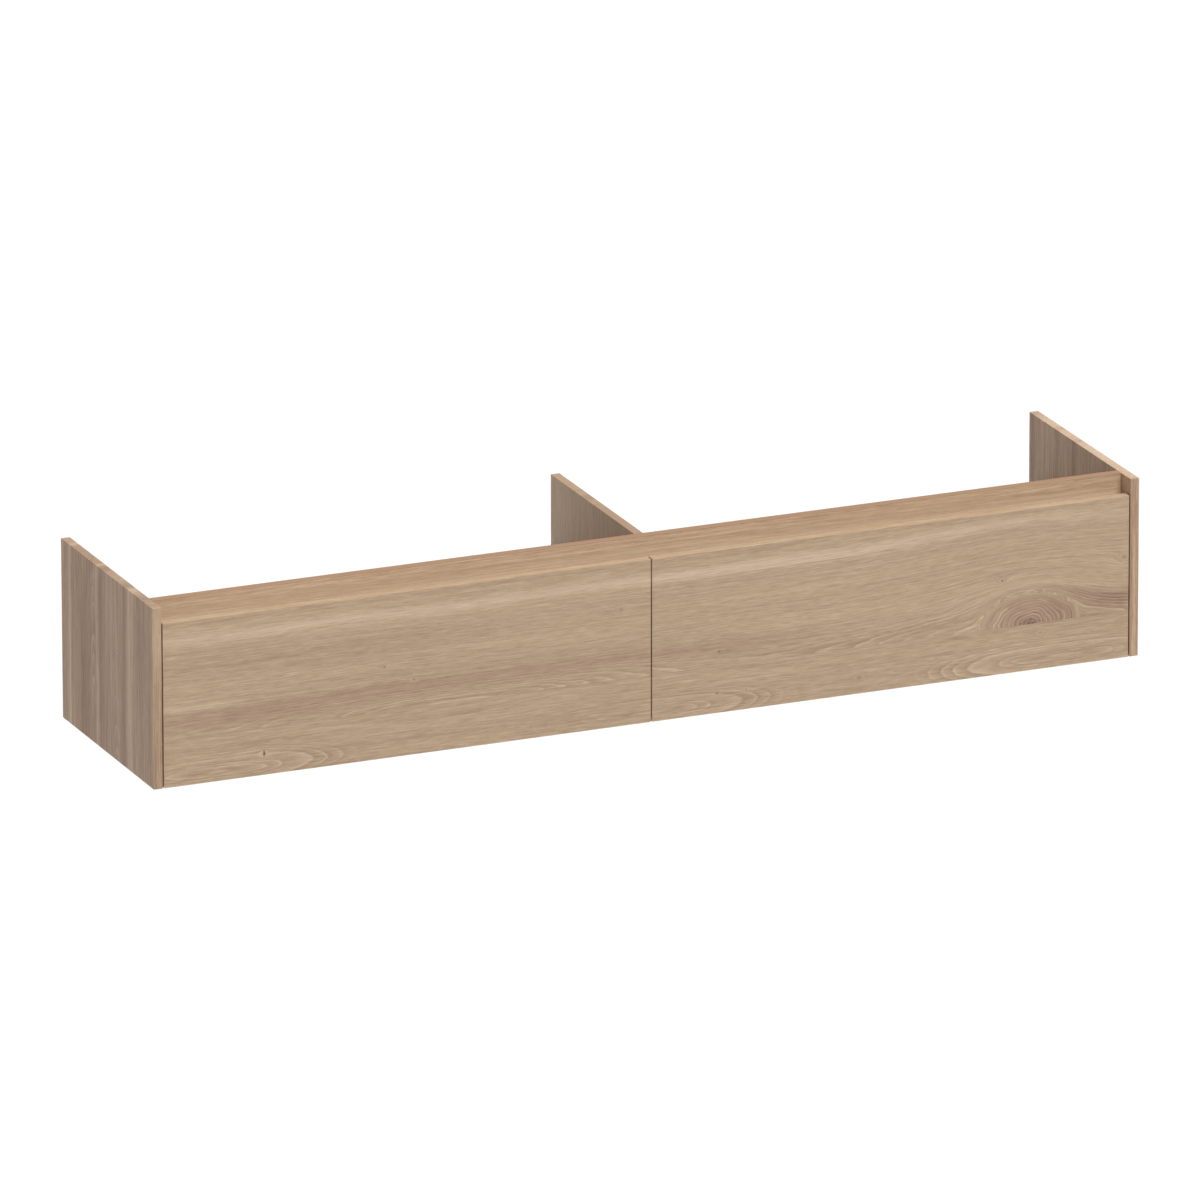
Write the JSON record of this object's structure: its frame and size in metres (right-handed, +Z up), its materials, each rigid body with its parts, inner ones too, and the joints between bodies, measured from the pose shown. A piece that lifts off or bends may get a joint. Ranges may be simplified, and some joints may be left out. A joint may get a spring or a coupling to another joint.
{
  "type": "bathroom vanity cabinet",
  "caption": "Wall-hung oak bathroom vanity cabinet with a pair of handle-less drawers on undermount runners, open top and back, recessed grip rail and concealed hangers.",
  "frame": {"origin": "on the wall plane, on the centreline, half way up the cabinet, which is on the rear edge of the centre partition", "axes": "+X to the right along the wall when facing the cabinet, +Y into the wall, +Z up; the drawers open towards -Y"},
  "size_m": [2, 0.46, 0.352],
  "materials": {
    "oak": "solid oak staves, matt oiled",
    "drawer_box_oak": "solid oak, matt lacquered",
    "beech_dowel": "fluted beech",
    "steel": "zinc plated sheet steel",
    "zinc": "bright zinc",
    "grey_plastic": "fine moulded texture",
    "lever_plastic": "fine moulded texture",
    "nylon": "natural nylon",
    "clear_rubber": "soft translucent"
  },
  "bodies": {
    "root": {"bottom_panel": "oak", "bumper_pads": "clear_rubber", "carcass_cam_bolts": "zinc", "carcass_cam_discs": "zinc", "carcass_dowels": "beech_dowel", "centre_partition": "oak", "grip_rail": "oak", "hanger_adjusting_screws": "zinc", "hanger_fixing_screws": "zinc", "hanger_hooks": "steel", "hanger_housings": "grey_plastic", "left_back_rail": "oak", "left_inner_cabinet_rail": "steel", "left_outer_cabinet_rail": "steel", "left_side_panel": "oak", "right_back_rail": "oak", "right_inner_cabinet_rail": "steel", "right_outer_cabinet_rail": "steel", "right_side_panel": "oak", "runner_screws": "zinc", "soft_close_dampers": "grey_plastic", "wall_plates": "steel"},
    "left_drawer": {"left_drawer_bracket_screws": "zinc", "left_drawer_catches": "grey_plastic", "left_drawer_dowels": "beech_dowel", "left_drawer_floor": "drawer_box_oak", "left_drawer_front": "oak", "left_drawer_front_brackets": "steel", "left_drawer_inner_back": "drawer_box_oak", "left_drawer_inner_side": "drawer_box_oak", "left_drawer_outer_back": "drawer_box_oak", "left_drawer_outer_side": "drawer_box_oak", "left_drawer_trap_cheeks": "drawer_box_oak", "left_drawer_trap_front_wall": "drawer_box_oak", "left_inner_drawer_rail": "steel", "left_outer_drawer_rail": "steel"},
    "left_sliding_rails": {"left_inner_sliding_rail": "steel", "left_outer_sliding_rail": "steel"},
    "left_lower_cages": {"left_lower_roller_cages": "nylon"},
    "left_upper_cages": {"left_upper_roller_cages": "nylon"},
    "left_levers": {"left_release_levers": "lever_plastic"},
    "right_drawer": {"right_drawer_bracket_screws": "zinc", "right_drawer_catches": "grey_plastic", "right_drawer_dowels": "beech_dowel", "right_drawer_floor": "drawer_box_oak", "right_drawer_front": "oak", "right_drawer_front_brackets": "steel", "right_drawer_inner_back": "drawer_box_oak", "right_drawer_inner_side": "drawer_box_oak", "right_drawer_outer_back": "drawer_box_oak", "right_drawer_outer_side": "drawer_box_oak", "right_drawer_trap_cheeks": "drawer_box_oak", "right_drawer_trap_front_wall": "drawer_box_oak", "right_inner_drawer_rail": "steel", "right_outer_drawer_rail": "steel"},
    "right_sliding_rails": {"right_inner_sliding_rail": "steel", "right_outer_sliding_rail": "steel"},
    "right_lower_cages": {"right_lower_roller_cages": "nylon"},
    "right_upper_cages": {"right_upper_roller_cages": "nylon"},
    "right_levers": {"right_release_levers": "lever_plastic"}
  },
  "joints": [
    {"name": "left_drawer_slide", "type": "slide", "parent": "root", "child": "left_drawer", "axis": [0, -1, 0], "range_m": [0, 0.38]},
    {"name": "left_sliding_rails_slide", "type": "slide", "parent": "root", "child": "left_sliding_rails", "axis": [0, -1, 0], "range_m": [0, 0.19]},
    {"name": "left_lower_cages_slide", "type": "slide", "parent": "root", "child": "left_lower_cages", "axis": [0, -1, 0], "range_m": [0, 0.095]},
    {"name": "left_upper_cages_slide", "type": "slide", "parent": "root", "child": "left_upper_cages", "axis": [0, -1, 0], "range_m": [0, 0.285]},
    {"name": "left_release_lever_hinge", "type": "hinge", "parent": "left_drawer", "child": "left_levers", "pos_m": [0, -0.396, -0.14325], "axis": [1, 0, 0], "range_deg": [0, 10], "stiffness_Nm_per_rad": 0.1, "springref_deg": -17.19},
    {"name": "right_drawer_slide", "type": "slide", "parent": "root", "child": "right_drawer", "axis": [0, -1, 0], "range_m": [0, 0.38]},
    {"name": "right_sliding_rails_slide", "type": "slide", "parent": "root", "child": "right_sliding_rails", "axis": [0, -1, 0], "range_m": [0, 0.19]},
    {"name": "right_lower_cages_slide", "type": "slide", "parent": "root", "child": "right_lower_cages", "axis": [0, -1, 0], "range_m": [0, 0.095]},
    {"name": "right_upper_cages_slide", "type": "slide", "parent": "root", "child": "right_upper_cages", "axis": [0, -1, 0], "range_m": [0, 0.285]},
    {"name": "right_release_lever_hinge", "type": "hinge", "parent": "right_drawer", "child": "right_levers", "pos_m": [0, -0.396, -0.14325], "axis": [1, 0, 0], "range_deg": [0, 10], "stiffness_Nm_per_rad": 0.1, "springref_deg": -17.19}
  ],
  "couplings": [
    {"joint": "left_sliding_rails_slide", "follows": "left_drawer_slide", "ratio": 0.5},
    {"joint": "left_lower_cages_slide", "follows": "left_drawer_slide", "ratio": 0.25},
    {"joint": "left_upper_cages_slide", "follows": "left_drawer_slide", "ratio": 0.75},
    {"joint": "right_sliding_rails_slide", "follows": "right_drawer_slide", "ratio": 0.5},
    {"joint": "right_lower_cages_slide", "follows": "right_drawer_slide", "ratio": 0.25},
    {"joint": "right_upper_cages_slide", "follows": "right_drawer_slide", "ratio": 0.75}
  ]
}
